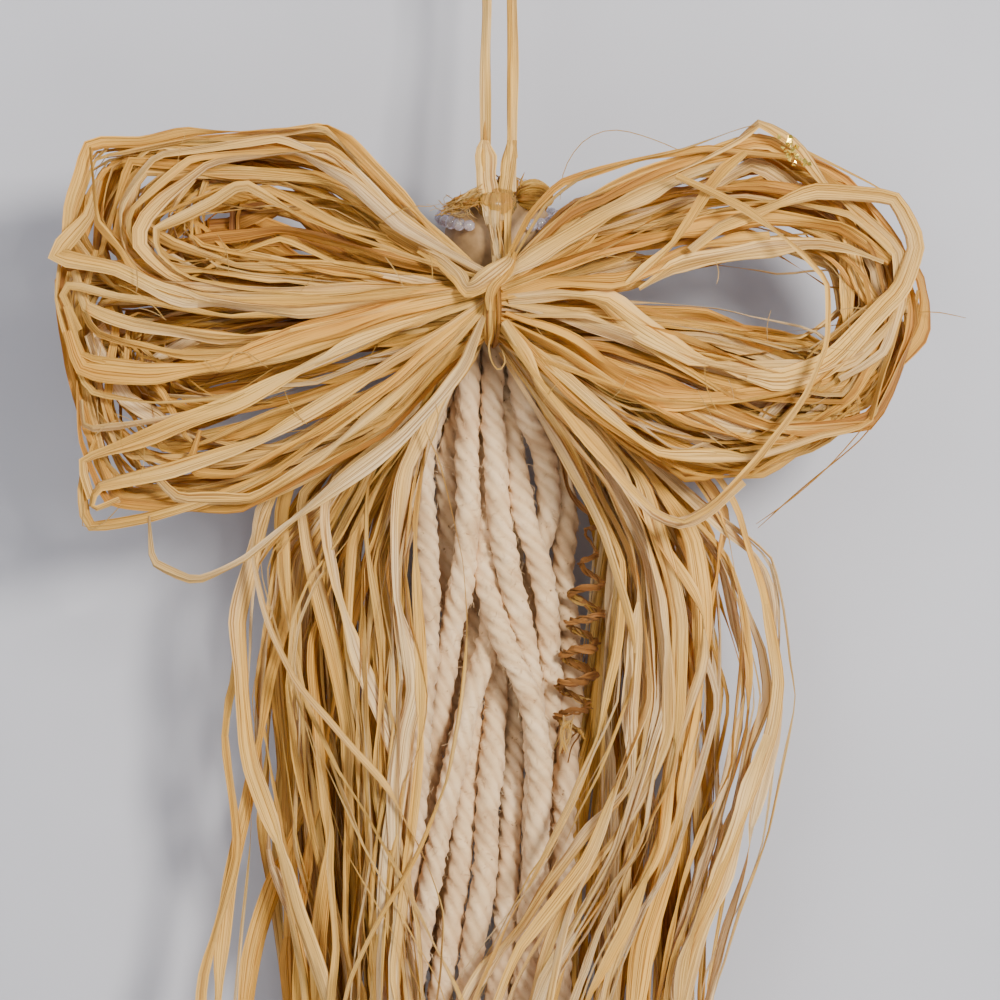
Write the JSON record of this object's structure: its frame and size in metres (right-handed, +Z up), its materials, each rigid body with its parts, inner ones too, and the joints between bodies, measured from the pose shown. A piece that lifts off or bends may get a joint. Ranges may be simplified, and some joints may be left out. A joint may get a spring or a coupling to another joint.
{
  "type": "yarn angel ornament",
  "caption": "Hanging angel ornament with a raffia bow for wings, a raffia skirt, a cotton yarn body and a beaded halo.",
  "frame": {"origin": "inside top of the hanger loop, where the ornament hangs on a hook or nail", "axes": "+Z up along the hanging ornament, -Y out of its back, where the bow's knot is, +X to the right when the knot is seen"},
  "size_m": [0.2098, 0.0586, 0.3531],
  "materials": {
    "raffia": "satin",
    "raffia_pale": "satin",
    "raffia_brown": "satin",
    "cotton": "matte",
    "ball": "satin",
    "beads": "pearly",
    "glue": "clear",
    "foil": "bright"
  },
  "bodies": {
    "root": {"head_ball": "ball", "hair_tuft": "raffia", "hair_curl": "raffia_brown", "halo_beads": "beads", "hanger_loop": "raffia_pale", "hanger_glue": "glue", "hanger_tail": "raffia_pale", "knot_tie": "raffia", "neck_gather": "cotton", "wing_left": "raffia", "wing_right": "raffia", "skirt_left": "raffia", "skirt_right": "raffia", "yarn_cord_01": "cotton", "yarn_cord_02": "cotton", "yarn_cord_03": "cotton", "yarn_cord_04": "cotton", "yarn_cord_05": "cotton", "yarn_cord_06": "cotton", "yarn_cord_07": "cotton", "yarn_cord_08": "cotton", "yarn_cord_09": "cotton", "yarn_cord_10": "cotton", "yarn_cord_11": "cotton", "yarn_cord_12": "cotton", "curled_tendril": "raffia_brown", "bound_bundle": "raffia_brown", "bundle_cuff": "raffia", "foil_sprig": "foil"}
  },
  "joints": []
}
